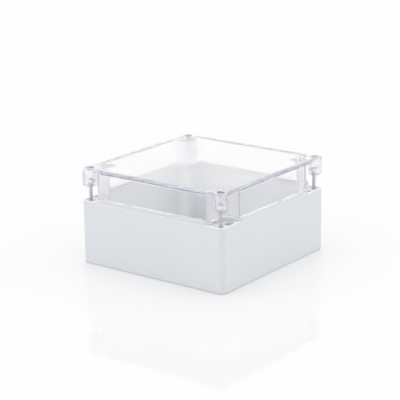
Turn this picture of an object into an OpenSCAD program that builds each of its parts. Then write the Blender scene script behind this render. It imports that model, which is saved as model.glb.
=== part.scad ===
// Square outdoor enclosure: grey moulded base, clear lid with four screw ears, seal and captive screws.
// Origin at the centre of the rear face, +Z from the rear face to the lid.

/* [Case] */
// Outside width of the base along X
case_w = 160; // [130:1:240]
// Outside depth of the base along Y
case_d = 160; // [140:1:240]
// Height of the base from its rear face to its rim
base_h = 60; // [40:1:120]
// Height of the lid above the rim of the base
lid_h = 30; // [26:1:60]
// Radius of the upright outer corners
corner_r = 5; // [2:0.5:6]

/* [Base] */
// Thickness of the base walls
base_wall = 3.2; // [2.9:0.1:4.5]
// Thickness of the base floor
floor_t = 3.5; // [2.5:0.1:6]
// Rounding round the rear edge
rear_r = 1.5; // [0.5:0.1:2]
// Rounding along the outer edge of the rim
rim_r = 0.5; // [0.2:0.1:1]
// Depth of the corner pads below the rim
pad_drop = 1; // [0.4:0.1:2]
// Width of the rim left outside a corner pad
pad_lip = 2; // [1.2:0.1:2.2]
// Width of the tongue on the rim that presses into the seal
tongue_w = 1.5; // [1:0.1:1.8]
// Height of the tongue above the rim
tongue_h = 1.2; // [0.8:0.1:1.6]

/* [Lid] */
// Thickness of the clear top
lid_top = 3; // [2:0.1:4]
// Thickness of the clear side walls
lid_wall = 2.4; // [2.2:0.1:4]
// Rounding round the top edge
lid_edge_r = 0.3; // [0.2:0.1:1.5]
// Fillet under the top along the side walls
lid_inner_r = 1.6; // [0.4:0.1:2]
// How far the side walls stand back from the faces of the base
ledge = 2.5; // [1.5:0.1:3]
// Thickness of the flange over the seal
flange_t = 0.8; // [0.6:0.1:2.5]
// How far the locating skirt reaches down into the base
skirt_h = 2.5; // [1.5:0.1:6]
// Thickness of the locating skirt
skirt_t = 1.4; // [1:0.1:2.5]
// Gap that the seal keeps open between the lid and the rim
parting_gap = 0.3; // [0.1:0.05:0.6]
// Side clearance between the lid and the base
side_gap = 0.3; // [0.2:0.05:0.5]

/* [Seal] */
// Thickness of the pressed seal
seal_t = 1.8; // [0.8:0.1:2.5]
// Width of the flange lip outside the seal
lip_w = 1; // [0.8:0.1:1.2]

/* [Lid screws] */
// Distance of each screw axis from the two outer faces
screw_inset = 6.5; // [6:0.1:9]
// Height of each ear, from the top of the lid down
ear_drop = 17; // [12:0.5:19]
// Rounding round the upper edge of an ear
ear_crown_r = 0.8; // [0.3:0.1:1]
// Rounding round the lower edge of an ear
ear_foot_r = 1.6; // [0.5:0.1:2]
// Thickness of the ear under the washer
ear_floor = 3; // [2:0.1:4]
// Free space between an ear and the flange beside it
ear_gap = 0.2; // [0:0.1:3]
// Diameter of the screw head
head_d = 6.2; // [5.8:0.1:8]
// Height of the screw head
head_h = 3; // [2:0.1:4]
// Diameter of the bare neck of the screw
neck_d = 3; // [2.5:0.1:3.2]
// Outside diameter of the thread
thread_d = 3.9; // [3.6:0.1:4]
// Length of the thread
thread_l = 14; // [10:0.5:16]
// How much of the thread stands above its corner pad
thread_bare = 3.5; // [0:0.5:5]
// Thickness of the washer under the head
washer_t = 0.8; // [0.5:0.1:1.2]
// Space round the head and the washer in the ear
head_gap = 0.4; // [0.3:0.1:0.8]
// Space round the thread in the ear
thread_gap = 0.35; // [0.2:0.05:0.5]
// Space round the neck in the washer
neck_gap = 0.1; // [0.05:0.05:0.2]
// Running space round the thread in its insert
run_gap = 0.05; // [0.03:0.01:0.1]

/* [Threaded inserts] */
// Outside diameter of an insert
insert_d = 6; // [5.4:0.1:7]
// Length of an insert
insert_l = 9.5; // [6:0.5:14]
// Depth of an insert below its corner pad
insert_sink = 1.5; // [0.5:0.1:3]
// Depth of the grooves round an insert
insert_groove = 0.3; // [0.2:0.05:0.4]
// Free depth for the screw tip below an insert
tip_room = 4; // [1:0.5:10]

/* [Wall mounting] */
// Distance along Y from a lid screw to its mounting hole
mount_offset = 11.5; // [10:0.5:16]
// Diameter of the well that takes the head of a wall screw
well_d = 8.5; // [7:0.1:9]
// Diameter of the mounting hole through the rear face
mount_d = 4.5; // [3.5:0.1:5.5]
// Thickness that the wall screw clamps
mount_t = 4; // [3:0.5:10]
// Plastic left between a well and the flange of the lid
well_edge = 0.25; // [0.2:0.05:2]

/* [Board bosses] */
// Spacing of the floor bosses along X
boss_x = 110; // [60:1:112]
// Spacing of the floor bosses along Y
boss_y = 130; // [60:1:140]
// Diameter of a boss
boss_d = 7; // [5:0.1:9]
// Height of a boss above the floor
boss_h = 6; // [3:0.5:20]
// Diameter of the pilot hole in a boss
pilot_d = 2.8; // [2:0.1:3.5]
// Length of the ribs that brace a boss
rib_l = 3; // [1:0.5:5]
// Thickness of the ribs that brace a boss
rib_t = 1.6; // [1:0.1:2]

/* [Hidden] */
$fn = 64;
CORNERS = ["front_left", "front_right", "back_left", "back_right"];

// Overlap that keeps joined and cut faces from meeting exactly
lap = 1;
// Radius that is left at the mouth of a pocket on the inner edge of the flange
inner_mouth_r = 2.6;
// Radius of the inner corner of a pocket at the flange
pocket_r = 5;
// Radius of the corners of a pad
pad_r = 4;
// Width, length and depth of the slots in a screw head
slot_w = 1.1;
slot_l = 4;
slot_depth = 1.7;
// Rounding on top of a screw head and lead at the screw tip
head_r = 0.9;
tip_lead = 0.6;

case_h = base_h + lid_h;
lid_z = base_h + parting_gap;
lid_under = case_h - lid_top;
inner_inset = ledge + lid_wall;

// The skirt stands just inside the base walls, and the flange reaches in far enough to carry it
skirt_out = base_wall + side_gap;
skirt_in = skirt_out + skirt_t;
flange_in = max(inner_inset, skirt_in);
mouth_r = flange_in + inner_mouth_r;

// A pocket is as long as the ear along X and reaches past the mounting well along Y
pocket_x = 2 * screw_inset + ear_gap;
pocket_y = screw_inset + mount_offset + well_d / 2 + well_edge;

// The groove lies inside the lip of the flange, and the tongue stands in the middle of the groove
tongue_in = lip_w + side_gap;
groove_out = tongue_in + tongue_w + side_gap;
seal_z = base_h + tongue_h;
groove_top = seal_z + seal_t;
flange_h = groove_top + flange_t - lid_z;

ear_z = case_h - ear_drop;
seat_z = ear_z + ear_floor;
head_z = seat_z + washer_t;
pad_z = base_h - pad_drop;
thread_z = pad_z + thread_bare;
insert_z = pad_z - insert_sink - insert_l;

// Puts its children at the four corners, measured inwards from the outer faces of the corner
module at_corner(k) {
    right = k % 2;
    back = floor(k / 2);
    translate([(right - 0.5) * case_w, (back - 0.5) * case_d, 0])
        mirror([right, 0, 0])
            mirror([0, back, 0])
                children();
}

module at_corners() {
    for (k = [0:3])
        at_corner(k) children();
}

module at_screw(k) {
    at_corner(k)
        translate([screw_inset, screw_inset, 0])
            children();
}

// What is left of a square corner outside a round of radius r
module corner_waste(r) {
    difference() {
        translate([-lap, -lap])
            square(r + lap);
        translate([r, r])
            circle(r);
    }
}

// One corner pocket, set back by inset from the outline of the flange
module pocket(inset) {
    size_x = pocket_x + inset;
    size_y = pocket_y + inset;
    inner_r = pocket_r + inset;
    edge_r = mouth_r - inset;
    difference() {
        translate([-lap, -lap])
            square([size_x + lap, size_y + lap]);
        translate([size_x, size_y])
            rotate(180)
                corner_waste(inner_r);
    }
    translate([size_x, inset])
        corner_waste(edge_r);
    translate([inset, size_y])
        corner_waste(edge_r);
}

// Outline of the recessed pad in a pocket, inside the lip that the outer rim leaves
module pad() {
    size_x = pocket_x - pad_lip;
    size_y = pocket_y - pad_lip;
    translate([pad_lip, pad_lip])
        difference() {
            square([size_x, size_y]);
            corner_waste(pad_r);
            translate([size_x, 0])
                rotate(90)
                    corner_waste(pad_r);
            translate([size_x, size_y])
                rotate(180)
                    corner_waste(pad_r);
            translate([0, size_y])
                rotate(270)
                    corner_waste(pad_r);
        }
}

// Outline of the sealed space: the case less its four corner pockets, set back by inset
module seal_outline(inset) {
    difference() {
        square([case_w - 2 * inset, case_d - 2 * inset], center = true);
        at_corners() pocket(inset);
    }
}

module seal_ring(outer_inset, ring_inset) {
    difference() {
        seal_outline(outer_inset);
        seal_outline(ring_inset);
    }
}

// Section of a moulded edge: reach out to the face, with its lower and upper edges rounded
module edge_section(reach, height, foot_r, crown_r) {
    difference() {
        square([reach, height]);
        if (foot_r > 0)
            translate([reach, 0])
                rotate(90)
                    corner_waste(foot_r);
        if (crown_r > 0)
            translate([reach, height])
                rotate(180)
                    corner_waste(crown_r);
    }
}

// Rounded block with its rear face on z = 0
module moulded_block(w, d, height, r, foot_r, crown_r) {
    for (k = [0:3])
        rotate(90 * k)
            translate(k % 2 == 0 ? [w / 2 - r, d / 2 - r, 0] : [d / 2 - r, w / 2 - r, 0])
                rotate_extrude(angle = 90)
                    edge_section(r, height, foot_r, crown_r);
    rotate([90, 0, 0])
        linear_extrude(d - 2 * r, center = true)
            for (side = [0, 1])
                mirror([side, 0])
                    edge_section(w / 2, height, foot_r, crown_r);
    rotate([90, 0, 90])
        linear_extrude(w - 2 * r, center = true)
            for (side = [0, 1])
                mirror([side, 0])
                    edge_section(d / 2, height, foot_r, crown_r);
}

// Screw ear: a round boss that runs out flush into the two outer faces
module ear() {
    translate([corner_r, corner_r, 0])
        rotate_extrude(angle = 90, start = 180)
            edge_section(corner_r, ear_drop, ear_foot_r, ear_crown_r);
    translate([corner_r, screw_inset, 0])
        mirror([0, 1, 0])
            rotate([90, 0, 90])
                linear_extrude(screw_inset - corner_r)
                    edge_section(screw_inset, ear_drop, ear_foot_r, ear_crown_r);
    translate([screw_inset, screw_inset, 0])
        mirror([1, 0, 0])
            rotate([90, 0, 0])
                linear_extrude(screw_inset - corner_r)
                    edge_section(screw_inset, ear_drop, ear_foot_r, ear_crown_r);
    translate([screw_inset, screw_inset, 0])
        rotate_extrude(angle = 270, start = -90)
            edge_section(screw_inset, ear_drop, ear_foot_r, ear_crown_r);
}

// Fillet under the top along one side wall, run into the pocket walls at both ends
module top_fillet(span, run) {
    translate([0, inner_inset - span / 2, lid_under])
        rotate([0, 90, 0])
            linear_extrude(run, center = true)
                corner_waste(lid_inner_r);
}

module top_fillets() {
    wall_mid = ledge + lid_wall / 2;
    for (side = [0, 180]) {
        rotate(side)
            top_fillet(case_d, case_w - 2 * (pocket_x + wall_mid));
        rotate(side + 90)
            top_fillet(case_w, case_d - 2 * (pocket_y + wall_mid));
    }
}

module board_boss() {
    cylinder(h = floor_t + boss_h, d = boss_d);
    rib_span = boss_d + 2 * rib_l;
    translate([-rib_span / 2, -rib_t / 2, 0])
        cube([rib_span, rib_t, floor_t + boss_h / 2]);
    translate([-rib_t / 2, -rib_span / 2, 0])
        cube([rib_t, rib_span, floor_t + boss_h / 2]);
}

module at_bosses() {
    for (x = [-1, 1])
        for (y = [-1, 1])
            translate([x * boss_x / 2, y * boss_y / 2, 0])
                children();
}

module base() {
    color("#dfe3e6")
        difference() {
            union() {
                difference() {
                    moulded_block(case_w, case_d, base_h, corner_r, rear_r, rim_r);
                    translate([0, 0, floor_t])
                        linear_extrude(base_h)
                            seal_outline(base_wall);
                }
                translate([0, 0, base_h - lap])
                    linear_extrude(tongue_h + lap)
                        seal_ring(tongue_in, tongue_in + tongue_w);
                at_bosses() board_boss();
            }
            at_bosses()
                translate([0, 0, floor_t])
                    cylinder(h = boss_h + lap, d = pilot_d);
            at_corners()
                translate([0, 0, pad_z])
                    linear_extrude(pad_drop + lap)
                        pad();
            at_corners()
                translate([screw_inset, screw_inset, insert_z]) {
                    translate([0, 0, -tip_room])
                        cylinder(h = base_h, d = thread_d + 2 * thread_gap);
                    cylinder(h = insert_l, d = insert_d);
                }
            at_corners()
                translate([screw_inset, screw_inset + mount_offset, -lap]) {
                    cylinder(h = base_h, d = mount_d);
                    translate([0, 0, mount_t + lap])
                        cylinder(h = base_h, d = well_d);
                }
        }
}

module lid() {
    color("#e6e8f0", 0.35)
        difference() {
            union() {
                translate([0, 0, lid_under])
                    moulded_block(case_w - 2 * ledge, case_d - 2 * ledge, lid_top, corner_r, 0, lid_edge_r);
                translate([0, 0, lid_z])
                    linear_extrude(lid_under - lid_z + lap)
                        seal_ring(ledge, inner_inset);
                translate([0, 0, lid_z])
                    linear_extrude(flange_h)
                        seal_ring(0, flange_in);
                translate([0, 0, base_h - skirt_h])
                    linear_extrude(skirt_h + parting_gap + lap)
                        seal_ring(skirt_out, skirt_in);
                top_fillets();
                at_corners()
                    translate([0, 0, ear_z])
                        ear();
            }
            translate([0, 0, lid_z - lap])
                linear_extrude(groove_top - lid_z + lap)
                    seal_ring(lip_w, groove_out);
            at_corners()
                translate([screw_inset, screw_inset, ear_z - lap]) {
                    cylinder(h = ear_drop, d = thread_d + 2 * thread_gap);
                    translate([0, 0, ear_floor + lap])
                        cylinder(h = ear_drop, d = head_d + 2 * head_gap);
                }
        }
}

module gasket() {
    color("#e4e6e6")
        translate([0, 0, seal_z])
            linear_extrude(seal_t)
                seal_ring(lip_w, groove_out);
}

module lid_screw(k) {
    color("#a9abad")
        at_screw(k)
            difference() {
                union() {
                    translate([0, 0, head_z])
                        rotate_extrude()
                            edge_section(head_d / 2, head_h, 0, head_r);
                    translate([0, 0, thread_z - lap])
                        cylinder(h = head_z - thread_z + 2 * lap, d = neck_d);
                    translate([0, 0, thread_z - thread_l + tip_lead])
                        cylinder(h = thread_l - tip_lead, d = thread_d);
                    translate([0, 0, thread_z - thread_l])
                        cylinder(h = tip_lead, d1 = thread_d - 2 * tip_lead, d2 = thread_d);
                }
                for (turn = [0, 90])
                    rotate(turn)
                        translate([-slot_l / 2, -slot_w / 2, head_z + head_h - slot_depth])
                            cube([slot_l, slot_w, slot_depth + lap]);
            }
}

module washer(k) {
    color("#c4c6c8")
        at_screw(k)
            translate([0, 0, seat_z])
                difference() {
                    cylinder(h = washer_t, d = head_d);
                    translate([0, 0, -lap])
                        cylinder(h = washer_t + 2 * lap, d = neck_d + 2 * neck_gap);
                }
}

module insert(k) {
    color("#b8934f")
        at_screw(k)
            translate([0, 0, insert_z])
                difference() {
                    cylinder(h = insert_l, d = insert_d);
                    translate([0, 0, -lap])
                        cylinder(h = insert_l + 2 * lap, d = thread_d + 2 * run_gap);
                    for (level = [0.25, 0.6])
                        translate([0, 0, level * insert_l])
                            difference() {
                                cylinder(h = insert_l * 0.15, d = insert_d + lap);
                                translate([0, 0, -lap])
                                    cylinder(h = insert_l, d = insert_d - 2 * insert_groove);
                            }
                }
}

base();
lid();
gasket();
for (k = [0:3]) {
    lid_screw(k);
    washer(k);
    insert(k);
}
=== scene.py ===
"""Finishes, fasteners and studio for a square outdoor enclosure with a clear lid."""
import math

import bmesh
import bpy
from bpy.props import FloatProperty, FloatVectorProperty, PointerProperty
from mathutils import Matrix, Vector


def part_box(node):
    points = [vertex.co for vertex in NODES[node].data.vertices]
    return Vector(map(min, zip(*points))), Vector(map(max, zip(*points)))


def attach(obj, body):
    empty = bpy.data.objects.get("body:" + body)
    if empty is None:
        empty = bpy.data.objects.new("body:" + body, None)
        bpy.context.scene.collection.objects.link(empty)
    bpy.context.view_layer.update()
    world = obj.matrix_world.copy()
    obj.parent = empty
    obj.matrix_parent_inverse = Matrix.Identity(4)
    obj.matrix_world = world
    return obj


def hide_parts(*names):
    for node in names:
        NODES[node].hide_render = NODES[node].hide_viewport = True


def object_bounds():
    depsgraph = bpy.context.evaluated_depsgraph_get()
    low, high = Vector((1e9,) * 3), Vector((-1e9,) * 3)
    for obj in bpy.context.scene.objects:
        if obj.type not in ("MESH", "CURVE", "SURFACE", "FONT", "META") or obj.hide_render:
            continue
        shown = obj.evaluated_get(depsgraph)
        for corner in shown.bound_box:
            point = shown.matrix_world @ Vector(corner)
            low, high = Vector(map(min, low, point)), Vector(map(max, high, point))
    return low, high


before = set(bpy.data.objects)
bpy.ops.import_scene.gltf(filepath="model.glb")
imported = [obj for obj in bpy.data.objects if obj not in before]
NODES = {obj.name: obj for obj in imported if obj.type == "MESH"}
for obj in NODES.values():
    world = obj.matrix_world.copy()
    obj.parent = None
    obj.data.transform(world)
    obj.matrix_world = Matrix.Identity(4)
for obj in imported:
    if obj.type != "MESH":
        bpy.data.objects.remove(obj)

bl_info = {
    "name": "Clear-lid enclosure",
    "version": (1, 0, 0),
    "blender": (4, 5, 0),
    "location": "View3D > Sidebar > Enclosure",
    "description": "Dresses an outdoor enclosure: base, clear lid, seal, screws, inserts and studio",
    "category": "Object",
}

CAD_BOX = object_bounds()
CORNERS = ("front_left", "front_right", "back_left", "back_right")
TABLE_HEIGHT = CAD_BOX[0][2]
LID_TOP = CAD_BOX[1][2]

# Shape of the shared noise
TONE_PATCHES_PER_METRE = 35.0
SMEAR_STRETCH = (1.0, 0.35, 0.6)
SMEAR_LOW = 0.42
SMEAR_HIGH = 0.68
GRAIN_LOW = 0.3
GRAIN_HIGH = 0.7

# Grains and handling marks of each finish, per metre
BASE_MARKS = 22.0
LID_MARKS = 18.0
SEAL_GRAINS = 4000.0
METAL_MARKS = 300.0
METAL_GRAINS = 6000.0
TABLE_GRAINS = 60.0

# How far each finish varies: TONE darkens the colour, the others change the roughness
BASE_TONE = 0.03
BASE_SMEAR = 0.08
LID_SMEAR = 0.02
SEAL_TONE = 0.12
METAL_TONE = 0.12
METAL_SMOOTHER = 0.06
METAL_ROUGHER = 0.08
TABLE_TONE = 0.01

# Gloss of the finishes that have no setting of their own
BASE_SPECULAR = 0.4
SEAL_ROUGHNESS = 0.7
NECK_ROUGHNESS = 0.3
THREAD_ROUGHNESS = 0.3
HEAD_ROUGHNESS = 0.16
BRASS_ROUGHNESS = 0.28

# Strength of each bump, and its depth in metres
BASE_BUMP = 0.5
SEAL_BUMP = 0.4
SEAL_BUMP_DEPTH = 0.00008
METAL_BUMP = 0.25
METAL_BUMP_DEPTH = 0.00001

# Masks on the lid, in metres: a soft border, and depths under the top at which the corner finishes end
MASK_FADE = 0.001
CORNER_FULL_DEPTH = 0.0006
CORNER_END_DEPTH = 0.0002

# Gaps in metres between a piece and the clear plastic that it touches
SEAL_GAP = 0.00004
WASHER_GAP = 0.00003

# Mesh of a screw
SIDES = 40
ROWS_PER_PITCH = 10
CROWN_STEPS = 6
SHARP_ANGLE = math.radians(32)

# Small steps of a screw, in metres
TIP_CHAMFER = 0.0004
NECK_STEP = 0.0003
NECK_IN_HEAD = 0.0005
HEAD_EDGE = 0.0001
HEAD_CROWN = 0.0009

# Profile of the thread, in pitches
CREST_HALF_WIDTH = 0.06
FLANK_WIDTH = 0.31
LOWER_RUN_OUT = 1.2
UPPER_RUN_OUT = 0.8

# Size of the floor of the cross recess, as a share of its mouth
RECESS_FLOOR_LENGTH = 0.62
RECESS_FLOOR_WIDTH = 0.7

# Order of the materials on a screw
NECK = 0
THREAD = 1
HEAD = 2

# Studio, in metres, apart from the tent's heights (sines of the angle up) and the sensor (millimetres)
TABLE_HALF = 4.0
TABLE_NEAR = 0.25
TABLE_FAR = 0.8
TENT_WHITE_HEIGHT = 0.28
TENT_DARK_HEIGHT = 0.45
SENSOR_WIDTH = 36.0
CAMERA_REACH = 20.0


class FinishSettings(bpy.types.PropertyGroup):
    """Colours and surface finish of the moulded and turned pieces."""

    base_color: FloatVectorProperty(
        name="Base colour", description="Light grey of the moulded base",
        subtype="COLOR", size=3, min=0, max=1, default=(0.737, 0.762, 0.791))
    base_roughness: FloatProperty(
        name="Base roughness", description="Satin of the moulded base",
        subtype="FACTOR", min=0, max=1, default=0.42)
    grain_size: FloatProperty(
        name="Grain size", description="Width of one grain of the moulded texture",
        subtype="DISTANCE", min=1e-5, default=0.0006)
    grain_depth: FloatProperty(
        name="Grain depth", description="Height of the moulded grain",
        subtype="DISTANCE", min=0, default=0.00003)
    lid_color: FloatVectorProperty(
        name="Lid colour", description="Tint of light through the clear lid",
        subtype="COLOR", size=3, min=0, max=1, default=(1.0, 0.998, 0.997))
    lid_clarity: FloatProperty(
        name="Lid clarity",
        description="Share of light that fine dust and wear on the clear plastic don't scatter",
        subtype="FACTOR", min=0, max=1, default=0.97)
    lid_ior: FloatProperty(
        name="Lid refraction", description="Refractive index of the clear plastic",
        min=1, max=2, default=1.585)
    lid_roughness: FloatProperty(
        name="Lid roughness", description="Haze of the polished clear plastic",
        subtype="FACTOR", min=0, max=1, default=0.015)
    lid_pass: FloatVectorProperty(
        name="Soft light through the lid",
        description="Share of soft light that one skin of the clear plastic lets by",
        subtype="COLOR", size=3, min=0, max=1, default=(0.985, 0.975, 0.962))
    lid_absorption_color: FloatVectorProperty(
        name="Lid depth tint", description="Colour that a long way through the plastic takes on",
        subtype="COLOR", size=3, min=0, max=1, default=(0.75, 0.742, 0.95))
    lid_absorption: FloatProperty(
        name="Lid depth density", description="How strongly the plastic tints light, per metre",
        min=0, default=8.0)
    pocket_roughness: FloatProperty(
        name="Pocket roughness", description="Matt finish of the corner pockets of the lid",
        subtype="FACTOR", min=0, max=1, default=0.65)
    pocket_clarity: FloatProperty(
        name="Pocket clarity",
        description="Share of light that goes straight through a skin of the corner pockets",
        subtype="FACTOR", min=0, max=1, default=0.2)
    pocket_color: FloatVectorProperty(
        name="Pocket colour", description="Tint of light through the corner pockets and screw ears",
        subtype="COLOR", size=3, min=0, max=1, default=(0.986, 0.985, 1.0))
    pocket_across: FloatProperty(
        name="Pocket across",
        description="Distance from the middle at which the corner pockets start, along X",
        subtype="DISTANCE", min=0, default=0.0595)
    pocket_along: FloatProperty(
        name="Pocket along",
        description="Distance from the middle at which the corner pockets start, along Y",
        subtype="DISTANCE", min=0, default=0.0515)
    ear_roughness: FloatProperty(
        name="Ear roughness", description="Satin finish of the screw ears of the lid",
        subtype="FACTOR", min=0, max=1, default=0.17)
    ear_clarity: FloatProperty(
        name="Ear clarity",
        description="Share of light that goes straight through a skin of the screw ears",
        subtype="FACTOR", min=0, max=1, default=0.5)
    ear_start: FloatProperty(
        name="Ear start",
        description="Distance from the middle at which the screw ears start, along X and Y",
        subtype="DISTANCE", min=0, default=0.0655)
    # Painted shade, not dust: the mouth of each screw bore in the ears is darkened to the colour below,
    # within the radius below of the screw axis and down to the depth below under the top of the lid.
    bore_shade_color: FloatVectorProperty(
        name="Bore colour",
        description="Tint of light through the dusty mouth of each screw bore in the ears",
        subtype="COLOR", size=3, min=0, max=1, default=(0.3, 0.3, 0.33))
    bore_shade_radius: FloatProperty(
        name="Bore radius",
        description="Distance from the axis of a screw within which the dusty bore lies",
        subtype="DISTANCE", min=0, default=0.0036)
    bore_shade_depth: FloatProperty(
        name="Bore depth", description="How far down from the top of the lid the dust in a bore reaches",
        subtype="DISTANCE", min=0, default=0.0024)
    edge_roughness: FloatProperty(
        name="Edge roughness", description="Satin finish of the moulded edge round the top of the lid",
        subtype="FACTOR", min=0, max=1, default=0.15)
    edge_start: FloatProperty(
        name="Edge start",
        description="Distance from the middle at which the top edge of the lid starts, along X and Y",
        subtype="DISTANCE", min=0, default=0.073)
    edge_drop: FloatProperty(
        name="Edge drop", description="Height of the top edge of the lid, from the top down",
        subtype="DISTANCE", min=0, default=0.0045)
    seal_color: FloatVectorProperty(
        name="Seal colour", description="Pale elastomer of the seal",
        subtype="COLOR", size=3, min=0, max=1, default=(0.77, 0.795, 0.835))
    steel_color: FloatVectorProperty(
        name="Steel colour", description="Turned steel of the screw necks",
        subtype="COLOR", size=3, min=0, max=1, default=(0.58, 0.58, 0.59))
    thread_color: FloatVectorProperty(
        name="Thread colour", description="Rolled steel of the screw threads",
        subtype="COLOR", size=3, min=0, max=1, default=(0.72, 0.72, 0.73))
    head_color: FloatVectorProperty(
        name="Head colour", description="Bright finish of the screw heads and washers",
        subtype="COLOR", size=3, min=0, max=1, default=(0.93, 0.93, 0.94))
    brass_color: FloatVectorProperty(
        name="Brass colour", description="Turned brass of the inserts",
        subtype="COLOR", size=3, min=0, max=1, default=(0.62, 0.45, 0.20))


class ScrewSettings(bpy.types.PropertyGroup):
    """Sizes of the lid screws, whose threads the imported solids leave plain."""

    pitch: FloatProperty(
        name="Thread pitch", description="Rise of the thread in one turn",
        subtype="DISTANCE", min=1e-4, default=0.0007)
    thread_depth: FloatProperty(
        name="Thread depth", description="Height of the thread above its core",
        subtype="DISTANCE", min=0, default=0.00042)
    thread_top: FloatProperty(
        name="Thread top", description="Height of the top of the thread above the table",
        subtype="DISTANCE", default=0.0625)
    neck_diameter: FloatProperty(
        name="Neck diameter", description="Diameter of the bare neck",
        subtype="DISTANCE", min=0, default=0.003)
    thread_diameter: FloatProperty(
        name="Thread diameter", description="Outside diameter of the thread",
        subtype="DISTANCE", min=0, default=0.0039)
    head_height: FloatProperty(
        name="Head height", description="Height of the head above its washer",
        subtype="DISTANCE", min=0, default=0.003)
    recess_width: FloatProperty(
        name="Recess width", description="Width of one arm of the cross recess",
        subtype="DISTANCE", min=0, default=0.0011)
    recess_length: FloatProperty(
        name="Recess length", description="Length across the cross recess",
        subtype="DISTANCE", min=0, default=0.004)
    recess_depth: FloatProperty(
        name="Recess depth", description="Depth of the cross recess",
        subtype="DISTANCE", min=0, default=0.0017)


class StudioSettings(bpy.types.PropertyGroup):
    """Camera and light of the product shot."""

    azimuth: FloatProperty(
        name="Azimuth", description="Camera bearing, from a view along +Y",
        subtype="ANGLE", default=math.radians(37.1206))
    elevation: FloatProperty(
        name="Elevation", description="Camera height above the horizon",
        subtype="ANGLE", default=math.radians(16.2565))
    roll: FloatProperty(
        name="Roll", description="Tilt of the camera about its own axis",
        subtype="ANGLE", default=math.radians(-0.7717))
    distance: FloatProperty(
        name="Distance", description="Camera distance from the middle of the enclosure",
        subtype="DISTANCE", default=1.3445)
    aim_left: FloatProperty(
        name="Aim left", description="How far the view centre lies left of the middle",
        subtype="DISTANCE", default=0.0035555)
    aim_up: FloatProperty(
        name="Aim up", description="How far the view centre lies above the middle",
        subtype="DISTANCE", default=0.0082542)
    lens: FloatProperty(
        name="Lens", description="Focal length, in millimetres",
        subtype="DISTANCE_CAMERA", min=1, default=130.558)
    floor_color: FloatVectorProperty(
        name="Floor colour", description="Pale table top",
        subtype="COLOR", size=3, min=0, max=1, default=(0.742, 0.739, 0.744))
    floor_lift: FloatProperty(
        name="Floor lift",
        description="Share of plain white in the floor near the object, as the camera sees it",
        subtype="FACTOR", min=0, max=1, default=0.3)
    floor_fade: FloatProperty(
        name="Floor fade",
        description="Share of plain white in the floor far from the object, as the camera sees it",
        subtype="FACTOR", min=0, max=1, default=0.85)
    floor_roughness: FloatProperty(
        name="Floor roughness", description="Blur of the reflections in the table top",
        subtype="FACTOR", min=0, max=1, default=0.02)
    tent_light: FloatProperty(
        name="Tent light", description="Brightness of the white tent round the object, as a light",
        min=0, default=0.97)
    tent_top: FloatProperty(
        name="Tent top",
        description="Brightness of the open top of the tent, as seen through the clear plastic",
        subtype="FACTOR", min=0, max=1, default=0.0)
    top_light: FloatProperty(
        name="Top light", description="Power of the soft box overhead",
        subtype="POWER", min=0, default=9.0)
    left_light: FloatProperty(
        name="Left light", description="Power of the soft box on the left",
        subtype="POWER", min=0, default=4.5)
    right_light: FloatProperty(
        name="Right light", description="Power of the soft box on the right",
        subtype="POWER", min=0, default=4.5)


def finish_settings():
    """The colours and finishes of this scene."""
    return bpy.context.scene.enclosure_finish


def screw_settings():
    """The sizes of the lid screws of this scene."""
    return bpy.context.scene.enclosure_screws


def studio_settings():
    """The camera and light of this scene."""
    return bpy.context.scene.enclosure_studio


def new_group(name, inputs, outputs):
    """An empty shader node group with named float inputs and outputs."""
    group = bpy.data.node_groups.new(name, "ShaderNodeTree")
    for label, default in inputs:
        socket = group.interface.new_socket(label, in_out="INPUT", socket_type="NodeSocketFloat")
        socket.default_value = default
    for label in outputs:
        group.interface.new_socket(label, in_out="OUTPUT", socket_type="NodeSocketFloat")
    return group, group.nodes.new("NodeGroupInput"), group.nodes.new("NodeGroupOutput")


def object_place(tree):
    """The place of a point in the frame of its own piece."""
    return tree.nodes.new("ShaderNodeTexCoord").outputs["Object"]


def noise(tree, vector, scale, detail=2.0, roughness=0.5):
    """A 3D noise texture on a vector. scale is a number or a socket."""
    node = tree.nodes.new("ShaderNodeTexNoise")
    node.inputs["Detail"].default_value = detail
    node.inputs["Roughness"].default_value = roughness
    tree.links.new(vector, node.inputs["Vector"])
    if isinstance(scale, (int, float)):
        node.inputs["Scale"].default_value = scale
    else:
        tree.links.new(scale, node.inputs["Scale"])
    return node.outputs["Fac"]


def math_node(tree, operation, first, second):
    """One math node. Each operand is a number or a socket."""
    node = tree.nodes.new("ShaderNodeMath")
    node.operation = operation
    for socket, value in zip(node.inputs, (first, second)):
        if isinstance(value, (int, float)):
            socket.default_value = value
        else:
            tree.links.new(value, socket)
    return node.outputs[0]


def remap(tree, value, low, high, to_low, to_high):
    """Maps a value from one range to another, clamped."""
    node = tree.nodes.new("ShaderNodeMapRange")
    node.inputs["From Min"].default_value = low
    node.inputs["From Max"].default_value = high
    node.inputs["To Min"].default_value = to_low
    node.inputs["To Max"].default_value = to_high
    tree.links.new(value, node.inputs["Value"])
    return node.outputs["Result"]


def blend_value(tree, first, second, mask):
    """The first number where the mask is 0, and the second where it is 1."""
    return remap(tree, mask, 0.0, 1.0, first, second)


def blend_color(tree, first, second, mask):
    """The first colour, which may be a socket, where the mask is 0, and the second where it is 1."""
    mix = tree.nodes.new("ShaderNodeMix")
    mix.data_type = "RGBA"
    if isinstance(first, bpy.types.NodeSocket):
        tree.links.new(first, mix.inputs["A"])
    else:
        mix.inputs["A"].default_value = (*first, 1.0)
    mix.inputs["B"].default_value = (*second, 1.0)
    tree.links.new(mask, mix.inputs["Factor"])
    return mix.outputs["Result"]


def shade_color(tree, color, mask, depth):
    """A colour that darkens by depth where the mask is 1."""
    return blend_color(tree, color, [c * (1.0 - depth) for c in color], mask)


def bump(tree, height, strength, distance):
    """A normal that follows a height."""
    node = tree.nodes.new("ShaderNodeBump")
    node.inputs["Strength"].default_value = strength
    node.inputs["Distance"].default_value = distance
    tree.links.new(height, node.inputs["Height"])
    return node.outputs["Normal"]


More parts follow.
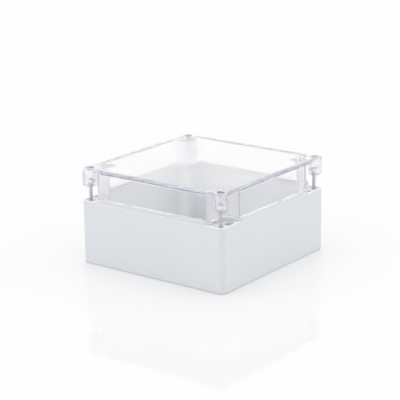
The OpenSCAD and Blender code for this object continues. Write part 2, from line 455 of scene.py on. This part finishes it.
def moulded_grain_group():
    """Spark-eroded mould texture: fine height, and a slow drift of tone."""
    name = "Moulded grain"
    if name in bpy.data.node_groups:
        return bpy.data.node_groups[name]
    group, into, out = new_group(name, [("Grains per metre", 1600.0)], ["Height", "Tone"])
    place = object_place(group)
    fine = noise(group, place, into.outputs["Grains per metre"], detail=3.0, roughness=0.6)
    slow = noise(group, place, TONE_PATCHES_PER_METRE)
    group.links.new(fine, out.inputs["Height"])
    group.links.new(slow, out.inputs["Tone"])
    return group


def handling_group():
    """Soft smears left by handling: a mask from 0 to 1."""
    name = "Handling marks"
    if name in bpy.data.node_groups:
        return bpy.data.node_groups[name]
    group, into, out = new_group(name, [("Marks per metre", 25.0)], ["Smear"])
    stretch = group.nodes.new("ShaderNodeVectorMath")
    stretch.operation = "MULTIPLY"
    stretch.inputs[1].default_value = SMEAR_STRETCH
    group.links.new(object_place(group), stretch.inputs[0])
    smear = noise(group, stretch.outputs[0], into.outputs["Marks per metre"], detail=5.0, roughness=0.62)
    group.links.new(remap(group, smear, SMEAR_LOW, SMEAR_HIGH, 0.0, 1.0), out.inputs["Smear"])
    return group


def use_group(tree, group, **values):
    """Places a node group in a material with its own input values."""
    node = tree.nodes.new("ShaderNodeGroup")
    node.node_tree = group
    for label, value in values.items():
        node.inputs[label.replace("_", " ")].default_value = value
    return node


def new_material(name):
    """A material with one Principled BSDF, and its tree and shader."""
    material = bpy.data.materials.new(name)
    material.use_nodes = True
    tree = material.node_tree
    return material, tree, tree.nodes["Principled BSDF"]


def mix_surface(tree, shader, other, share):
    """Makes the surface of a material from its own shader and a share of another."""
    mix = tree.nodes.new("ShaderNodeMixShader")
    tree.links.new(share, mix.inputs["Fac"])
    tree.links.new(shader, mix.inputs[1])
    tree.links.new(other, mix.inputs[2])
    tree.links.new(mix.outputs["Shader"], tree.nodes["Material Output"].inputs["Surface"])


def seen_rays(tree, paths):
    """1 for rays that show a surface to the camera, directly or not, and 0 for soft light."""
    seen = math_node(tree, "MAXIMUM", paths.outputs["Is Camera Ray"], paths.outputs["Is Glossy Ray"])
    return math_node(tree, "MAXIMUM", seen, paths.outputs["Is Transmission Ray"])


def grained_grey_plastic():
    """Light grey moulded plastic with a fine eroded texture."""
    look = finish_settings()
    material, tree, shader = new_material("grained_grey_plastic")
    grain = use_group(tree, moulded_grain_group(), Grains_per_metre=1.0 / look.grain_size)
    marks = use_group(tree, handling_group(), Marks_per_metre=BASE_MARKS)
    color = shade_color(tree, look.base_color, grain.outputs["Tone"], BASE_TONE)
    smeared = look.base_roughness + BASE_SMEAR
    roughness = blend_value(tree, look.base_roughness, smeared, marks.outputs["Smear"])
    normal = bump(tree, grain.outputs["Height"], BASE_BUMP, look.grain_depth)
    tree.links.new(color, shader.inputs["Base Color"])
    tree.links.new(roughness, shader.inputs["Roughness"])
    tree.links.new(normal, shader.inputs["Normal"])
    shader.inputs["Specular IOR Level"].default_value = BASE_SPECULAR
    return material


def lid_place(tree):
    """The distances from the middle along X and Y, and the height, at a point of the lid."""
    place = tree.nodes.new("ShaderNodeSeparateXYZ")
    tree.links.new(object_place(tree), place.inputs["Vector"])
    across = math_node(tree, "ABSOLUTE", place.outputs["X"], 0.0)
    along = math_node(tree, "ABSOLUTE", place.outputs["Y"], 0.0)
    return across, along, place.outputs["Z"]


def past(tree, value, start):
    """0 where a value is under the start, and 1 soon past it."""
    return remap(tree, value, start, start + MASK_FADE, 0.0, 1.0)


def corner_mask(tree, place, across_from, along_from):
    """1 past the given distances along X and Y, and 0 nearer the middle and on the top face."""
    across, along, height = place
    corner = math_node(tree, "MULTIPLY", past(tree, across, across_from), past(tree, along, along_from))
    under = remap(tree, height, LID_TOP - CORNER_FULL_DEPTH, LID_TOP - CORNER_END_DEPTH, 1.0, 0.0)
    return math_node(tree, "MULTIPLY", corner, under)


def edge_mask(tree, place):
    """1 in the edge between the top and the walls of the lid, and 0 elsewhere."""
    look = finish_settings()
    across, along, height = place
    rim = past(tree, math_node(tree, "MAXIMUM", across, along), look.edge_start)
    return math_node(tree, "MULTIPLY", rim, past(tree, height, LID_TOP - look.edge_drop))


def bore_shade_mask(tree, place):
    """1 in the mouth of each screw bore in the ears, where shade is painted, and 0 elsewhere."""
    look = finish_settings()
    across, along, height = place
    low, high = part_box("screw_back_right")
    aside = math_node(tree, "SUBTRACT", across, (low[0] + high[0]) / 2)
    ahead = math_node(tree, "SUBTRACT", along, (low[1] + high[1]) / 2)
    aside_squared = math_node(tree, "MULTIPLY", aside, aside)
    ahead_squared = math_node(tree, "MULTIPLY", ahead, ahead)
    span_squared = math_node(tree, "ADD", aside_squared, ahead_squared)
    inside = math_node(tree, "LESS_THAN", span_squared, look.bore_shade_radius ** 2)
    return math_node(tree, "MULTIPLY", inside, past(tree, height, LID_TOP - look.bore_shade_depth))


def clear_plastic():
    """Polished clear polycarbonate with softer corners and edges, faintly violet in its depth, with
    painted shade in the mouth of each screw bore.
    """
    look = finish_settings()
    material, tree, shader = new_material("clear_plastic")
    place = lid_place(tree)
    corners = corner_mask(tree, place, look.pocket_across, look.pocket_along)
    ears = corner_mask(tree, place, look.ear_start, look.ear_start)
    shaded_bores = bore_shade_mask(tree, place)
    tint = blend_color(tree, look.lid_color, look.pocket_color, corners)
    # Painted shade: the mouth of each screw bore takes the dark bore colour in place of the clear tint.
    tree.links.new(blend_color(tree, tint, look.bore_shade_color, shaded_bores), shader.inputs["Base Color"])
    shader.inputs["Transmission Weight"].default_value = look.lid_clarity
    shader.inputs["IOR"].default_value = look.lid_ior

    marks = use_group(tree, handling_group(), Marks_per_metre=LID_MARKS)
    smeared = look.lid_roughness + LID_SMEAR
    polish = blend_value(tree, look.lid_roughness, smeared, marks.outputs["Smear"])
    matt = blend_value(tree, look.pocket_roughness, look.ear_roughness, ears)
    matt = math_node(tree, "MULTIPLY", corners, matt)
    satin = math_node(tree, "MULTIPLY", edge_mask(tree, place), look.edge_roughness)
    dull = math_node(tree, "MAXIMUM", matt, satin)
    tree.links.new(math_node(tree, "MAXIMUM", polish, dull), shader.inputs["Roughness"])

    depth = tree.nodes.new("ShaderNodeVolumeAbsorption")
    depth.inputs["Color"].default_value = (*look.lid_absorption_color, 1.0)
    depth.inputs["Density"].default_value = look.lid_absorption
    tree.links.new(depth.outputs["Volume"], tree.nodes["Material Output"].inputs["Volume"])

    paths = tree.nodes.new("ShaderNodeLightPath")
    soft = math_node(tree, "MAXIMUM", paths.outputs["Is Shadow Ray"], paths.outputs["Is Diffuse Ray"])
    straight = blend_value(tree, look.pocket_clarity, look.ear_clarity, ears)
    straight = math_node(tree, "MULTIPLY", corners, straight)
    # The painted shade in each bore mouth is kept out of the straight see-through share, so that it
    # shows.
    straight = math_node(tree, "MULTIPLY", straight, blend_value(tree, 1.0, 0.0, shaded_bores))
    through = tree.nodes.new("ShaderNodeBsdfTransparent")
    tree.links.new(blend_color(tree, look.pocket_color, look.lid_pass, soft), through.inputs["Color"])
    share = math_node(tree, "MAXIMUM", soft, straight)
    mix_surface(tree, shader.outputs["BSDF"], through.outputs["BSDF"], share)
    return material


def seal_elastomer():
    """Pale foamed elastomer."""
    look = finish_settings()
    material, tree, shader = new_material("seal_elastomer")
    grain = use_group(tree, moulded_grain_group(), Grains_per_metre=SEAL_GRAINS)
    color = shade_color(tree, look.seal_color, grain.outputs["Height"], SEAL_TONE)
    normal = bump(tree, grain.outputs["Height"], SEAL_BUMP, SEAL_BUMP_DEPTH)
    tree.links.new(color, shader.inputs["Base Color"])
    tree.links.new(normal, shader.inputs["Normal"])
    shader.inputs["Roughness"].default_value = SEAL_ROUGHNESS
    return material


def worked_metal(name, color, roughness):
    """Turned or rolled metal with a fine grain and a little handling."""
    material, tree, shader = new_material(name)
    marks = use_group(tree, handling_group(), Marks_per_metre=METAL_MARKS)
    grain = use_group(tree, moulded_grain_group(), Grains_per_metre=METAL_GRAINS)
    shade = shade_color(tree, color, marks.outputs["Smear"], METAL_TONE)
    varied = remap(tree, grain.outputs["Height"], GRAIN_LOW, GRAIN_HIGH,
                   roughness - METAL_SMOOTHER, roughness + METAL_ROUGHER)
    normal = bump(tree, grain.outputs["Height"], METAL_BUMP, METAL_BUMP_DEPTH)
    tree.links.new(shade, shader.inputs["Base Color"])
    tree.links.new(varied, shader.inputs["Roughness"])
    tree.links.new(normal, shader.inputs["Normal"])
    shader.inputs["Metallic"].default_value = 1.0
    return material


def dress(node, material):
    """Gives a CAD node one material."""
    piece = NODES[node]
    piece.material_slots[0].material = material
    return piece


def draw_back(piece, depth):
    """Sets the faces of a piece back a little, so that they part from the clear plastic they touch."""
    skin_back = piece.modifiers.new("draw_back", "DISPLACE")
    skin_back.strength = -depth
    skin_back.mid_level = 0.0


class ENCLOSURE_OT_base(bpy.types.Operator):
    """Finish the moulded base"""
    bl_idname = "enclosure.base"
    bl_label = "Base"

    def execute(self, context):
        dress("base", grained_grey_plastic())
        return {"FINISHED"}


class ENCLOSURE_OT_lid(bpy.types.Operator):
    """Finish the clear lid"""
    bl_idname = "enclosure.lid"
    bl_label = "Clear lid"

    def execute(self, context):
        dress("lid", clear_plastic())
        return {"FINISHED"}


class ENCLOSURE_OT_seal(bpy.types.Operator):
    """Finish the seal under the lid"""
    bl_idname = "enclosure.seal"
    bl_label = "Seal"

    def execute(self, context):
        draw_back(dress("gasket", seal_elastomer()), SEAL_GAP)
        return {"FINISHED"}


def ring(bm, radius, height):
    """A closed loop of vertices round the axis."""
    steps = [2 * math.pi * k / SIDES for k in range(SIDES)]
    return [bm.verts.new((radius * math.cos(a), radius * math.sin(a), height)) for a in steps]


def skin(bm, lower, upper):
    """Faces between two loops of the same length."""
    for k in range(len(lower)):
        j = (k + 1) % len(lower)
        bm.faces.new((lower[k], lower[j], upper[j], upper[k]))


def loop_edges(bm, loop):
    """The edges of a closed loop of vertices."""
    return [bm.edges.get((loop[k], loop[(k + 1) % len(loop)])) for k in range(len(loop))]


def thread_radius(angle, height, low, high):
    """Radius of a right-hand thread at an angle and height, running out at both ends."""
    sizes = screw_settings()
    outer = sizes.thread_diameter / 2
    phase = (height / sizes.pitch - angle / (2 * math.pi)) % 1.0
    flank = min(max((abs(phase - 0.5) - CREST_HALF_WIDTH) / FLANK_WIDTH, 0.0), 1.0)
    from_low = (height - low) / (LOWER_RUN_OUT * sizes.pitch)
    from_high = (high - height) / (UPPER_RUN_OUT * sizes.pitch)
    run_out = min(from_low, from_high, 1.0)
    return outer - sizes.thread_depth * max(flank, 1.0 - max(run_out, 0.0))


def add_thread(bm, low, high, neck_top):
    """The tip, the threaded length and the bare neck, as one closed skin."""
    sizes = screw_settings()
    neck = sizes.neck_diameter / 2
    core = sizes.thread_diameter / 2 - sizes.thread_depth
    loops = [ring(bm, core - TIP_CHAMFER, low)]
    steps = int((high - low) / sizes.pitch * ROWS_PER_PITCH)
    for row in range(1, steps + 1):
        height = low + (high - low) * row / steps
        loop = []
        for k in range(SIDES):
            angle = 2 * math.pi * k / SIDES
            radius = thread_radius(angle, height, low, high)
            loop.append(bm.verts.new((radius * math.cos(angle), radius * math.sin(angle), height)))
        loops.append(loop)
    loops.append(ring(bm, neck, high + NECK_STEP))
    loops.append(ring(bm, neck, neck_top))
    for lower, upper in zip(loops, loops[1:]):
        skin(bm, lower, upper)
    bm.faces.new(list(reversed(loops[0])))
    bm.faces.new(loops[-1])


def cross_outline(bm, length, width, height):
    """Twelve corners of a cross, counter-clockwise."""
    far, near = length / 2, width / 2
    arm = [(far, -near), (far, near), (near, near)]
    points = []
    for cos, sin in ((1, 0), (0, 1), (-1, 0), (0, -1)):
        points += [(x * cos - y * sin, x * sin + y * cos) for x, y in arm]
    return [bm.verts.new((x, y, height)) for x, y in points]


def add_head(bm, radius, seat):
    """A round cheese head with a rounded crown and a tapered cross recess."""
    sizes = screw_settings()
    top = seat + sizes.head_height
    flat = radius - HEAD_CROWN
    shoulder = top - HEAD_CROWN
    loops = [ring(bm, radius - HEAD_EDGE, seat), ring(bm, radius, seat + HEAD_EDGE)]
    for step in range(CROWN_STEPS + 1):
        angle = math.pi / 2 * step / CROWN_STEPS
        out = HEAD_CROWN * math.cos(angle)
        up = HEAD_CROWN * math.sin(angle)
        loops.append(ring(bm, flat + out, shoulder + up))
    for lower, upper in zip(loops, loops[1:]):
        skin(bm, lower, upper)
    bm.faces.new(list(reversed(loops[0])))
    length, width = sizes.recess_length, sizes.recess_width
    mouth = cross_outline(bm, length, width, top)
    floor = cross_outline(bm, length * RECESS_FLOOR_LENGTH, width * RECESS_FLOOR_WIDTH,
                          top - sizes.recess_depth)
    skin(bm, floor, mouth)
    bm.faces.new(floor)
    rims = loop_edges(bm, loops[-1]) + loop_edges(bm, mouth)
    bmesh.ops.triangle_fill(bm, use_beauty=True, use_dissolve=False, edges=rims)


def make_piece(name, bm, materials, body):
    """Turns a bmesh into a piece that rides on a body."""
    bmesh.ops.recalc_face_normals(bm, faces=bm.faces)
    mesh = bpy.data.meshes.new(name)
    bm.to_mesh(mesh)
    bm.free()
    for material in materials:
        mesh.materials.append(material)
    mesh.set_sharp_from_angle(angle=SHARP_ANGLE)
    piece = bpy.data.objects.new(name, mesh)
    bpy.context.scene.collection.objects.link(piece)
    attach(piece, body)
    return piece


class ENCLOSURE_OT_screws(bpy.types.Operator):
    """Model the lid screws, with helical threads and tapered recesses, and finish their washers"""
    bl_idname = "enclosure.screws"
    bl_label = "Lid screws"

    def execute(self, context):
        look = finish_settings()
        sizes = screw_settings()
        steel = worked_metal("turned_steel", look.steel_color, NECK_ROUGHNESS)
        rolled = worked_metal("rolled_steel", look.thread_color, THREAD_ROUGHNESS)
        bright = worked_metal("bright_steel", look.head_color, HEAD_ROUGHNESS)
        for corner in CORNERS:
            node = "screw_" + corner
            low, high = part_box(node)
            seat = high[2] - sizes.head_height
            bm = bmesh.new()
            add_thread(bm, low[2], sizes.thread_top, seat + NECK_IN_HEAD)
            for face in bm.faces:
                bare = face.calc_center_median().z > sizes.thread_top
                face.material_index = NECK if bare else THREAD
            shank = set(bm.faces)
            add_head(bm, (high[0] - low[0]) / 2, seat)
            for face in set(bm.faces) - shank:
                face.material_index = HEAD
            axis = ((low[0] + high[0]) / 2, (low[1] + high[1]) / 2, 0.0)
            bmesh.ops.translate(bm, verts=bm.verts, vec=axis)
            metals = (steel, rolled, bright)
            screw = make_piece("lid_screw_" + corner, bm, metals, "screw_" + corner)
            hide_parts(node)
            draw_back(dress("washer_" + corner, bright), WASHER_GAP)
        return {"FINISHED"}


class ENCLOSURE_OT_inserts(bpy.types.Operator):
    """Finish the threaded inserts"""
    bl_idname = "enclosure.inserts"
    bl_label = "Threaded inserts"

    def execute(self, context):
        brass = worked_metal("turned_brass", finish_settings().brass_color, BRASS_ROUGHNESS)
        for corner in CORNERS:
            dress("insert_" + corner, brass)
        return {"FINISHED"}


def place_camera():
    """The camera of the product shot."""
    view = studio_settings()
    azimuth, elevation = view.azimuth, view.elevation
    back = Vector((math.sin(azimuth) * math.cos(elevation),
                   -math.cos(azimuth) * math.cos(elevation),
                   math.sin(elevation)))
    level = Vector((math.cos(azimuth), math.sin(azimuth), 0.0))
    right = Matrix.Rotation(view.roll, 3, back) @ level
    up = back.cross(right)
    middle = (Vector(CAD_BOX[0]) + Vector(CAD_BOX[1])) / 2
    data = bpy.data.cameras.new("product_camera")
    data.lens = view.lens
    data.sensor_width = SENSOR_WIDTH
    data.clip_end = CAMERA_REACH
    camera = bpy.data.objects.new("product_camera", data)
    spot = middle + back * view.distance - right * view.aim_left + up * view.aim_up
    camera.matrix_world = Matrix.Translation(spot) @ Matrix((right, up, back)).transposed().to_4x4()
    bpy.context.scene.collection.objects.link(camera)
    bpy.context.scene.camera = camera


def table_top():
    """Pale, faintly glossy table top that the camera sees nearly white."""
    view = studio_settings()
    material, tree, shader = new_material("pale_table")
    grain = use_group(tree, moulded_grain_group(), Grains_per_metre=TABLE_GRAINS)
    color = shade_color(tree, view.floor_color, grain.outputs["Tone"], TABLE_TONE)
    tree.links.new(color, shader.inputs["Base Color"])
    shader.inputs["Roughness"].default_value = view.floor_roughness
    reach = tree.nodes.new("ShaderNodeVectorMath")
    reach.operation = "LENGTH"
    tree.links.new(object_place(tree), reach.inputs[0])
    lift = remap(tree, reach.outputs["Value"], TABLE_NEAR, TABLE_FAR, view.floor_lift, view.floor_fade)
    seen = seen_rays(tree, tree.nodes.new("ShaderNodeLightPath"))
    white = tree.nodes.new("ShaderNodeEmission")
    share = math_node(tree, "MULTIPLY", seen, lift)
    mix_surface(tree, shader.outputs["BSDF"], white.outputs["Emission"], share)
    return material


def add_table():
    """A wide table top under the object."""
    corners = [(-TABLE_HALF, -TABLE_HALF), (TABLE_HALF, -TABLE_HALF),
               (TABLE_HALF, TABLE_HALF), (-TABLE_HALF, TABLE_HALF)]
    mesh = bpy.data.meshes.new("table")
    mesh.from_pydata([(x, y, TABLE_HEIGHT) for x, y in corners], [], [(0, 1, 2, 3)])
    mesh.materials.append(table_top())
    table = bpy.data.objects.new("table", mesh)
    bpy.context.scene.collection.objects.link(table)


def white_tent():
    """White surroundings, a little lower as a light, whose open top is dark through clear plastic."""
    view = studio_settings()
    world = bpy.data.worlds.new("white_tent")
    world.use_nodes = True
    tree = world.node_tree
    background = tree.nodes["Background"]
    background.inputs["Color"].default_value = (1.0, 1.0, 1.0, 1.0)
    paths = tree.nodes.new("ShaderNodeLightPath")
    white = blend_value(tree, view.tent_light, 1.0, seen_rays(tree, paths))
    ray = tree.nodes.new("ShaderNodeSeparateXYZ")
    tree.links.new(tree.nodes.new("ShaderNodeTexCoord").outputs["Generated"], ray.inputs["Vector"])
    dim = remap(tree, ray.outputs["Z"], TENT_WHITE_HEIGHT, TENT_DARK_HEIGHT, 0.0, 1.0 - view.tent_top)
    dim = math_node(tree, "MULTIPLY", dim, paths.outputs["Is Transmission Ray"])
    tree.links.new(math_node(tree, "SUBTRACT", white, dim), background.inputs["Strength"])
    return world


def soft_box(name, place, size, power):
    """A square lamp that faces the origin, and that no mirror or clear plastic shows."""
    data = bpy.data.lights.new(name, "AREA")
    data.shape = "SQUARE"
    data.size = size
    data.energy = power
    lamp = bpy.data.objects.new(name, data)
    lamp.location = place
    lamp.rotation_euler = (-Vector(place)).to_track_quat("-Z", "Y").to_euler()
    lamp.visible_glossy = False
    lamp.visible_transmission = False
    bpy.context.scene.collection.objects.link(lamp)


class ENCLOSURE_OT_studio(bpy.types.Operator):
    """Set up the table, the light and the camera"""
    bl_idname = "enclosure.studio"
    bl_label = "Studio"

    def execute(self, context):
        scene = context.scene
        view = studio_settings()
        scene.view_settings.view_transform = "Standard"
        scene.cycles.max_bounces = 40
        scene.cycles.diffuse_bounces = 8
        scene.cycles.glossy_bounces = 32
        scene.cycles.transmission_bounces = 40
        scene.cycles.transparent_max_bounces = 24
        add_table()
        scene.world = white_tent()
        soft_box("soft_box_overhead", place=(0.0, 0.0, 1.5), size=1.6, power=view.top_light)
        soft_box("soft_box_left", place=(-1.2, -1.3, 0.7), size=1.2, power=view.left_light)
        soft_box("soft_box_right", place=(1.3, 1.2, 0.7), size=1.2, power=view.right_light)
        place_camera()
        return {"FINISHED"}


class ENCLOSURE_PT_panel(bpy.types.Panel):
    """The steps that dress the enclosure, in order"""
    bl_idname = "ENCLOSURE_PT_panel"
    bl_label = "Enclosure"
    bl_space_type = "VIEW_3D"
    bl_region_type = "UI"
    bl_category = "Enclosure"

    def draw(self, context):
        for operator in OPERATORS:
            self.layout.operator(operator.bl_idname)


OPERATORS = (
    ENCLOSURE_OT_studio,
    ENCLOSURE_OT_base,
    ENCLOSURE_OT_lid,
    ENCLOSURE_OT_seal,
    ENCLOSURE_OT_screws,
    ENCLOSURE_OT_inserts,
)
SETTINGS = (FinishSettings, ScrewSettings, StudioSettings)


def register():
    for cls in SETTINGS + OPERATORS + (ENCLOSURE_PT_panel,):
        bpy.utils.register_class(cls)
    bpy.types.Scene.enclosure_finish = PointerProperty(type=FinishSettings)
    bpy.types.Scene.enclosure_screws = PointerProperty(type=ScrewSettings)
    bpy.types.Scene.enclosure_studio = PointerProperty(type=StudioSettings)


def unregister():
    del bpy.types.Scene.enclosure_studio
    del bpy.types.Scene.enclosure_screws
    del bpy.types.Scene.enclosure_finish
    for cls in reversed(SETTINGS + OPERATORS + (ENCLOSURE_PT_panel,)):
        bpy.utils.unregister_class(cls)


def main():
    register()
    bpy.ops.enclosure.studio()
    bpy.ops.enclosure.base()
    bpy.ops.enclosure.lid()
    bpy.ops.enclosure.seal()
    bpy.ops.enclosure.screws()
    bpy.ops.enclosure.inserts()


if __name__ == "__main__":
    main()
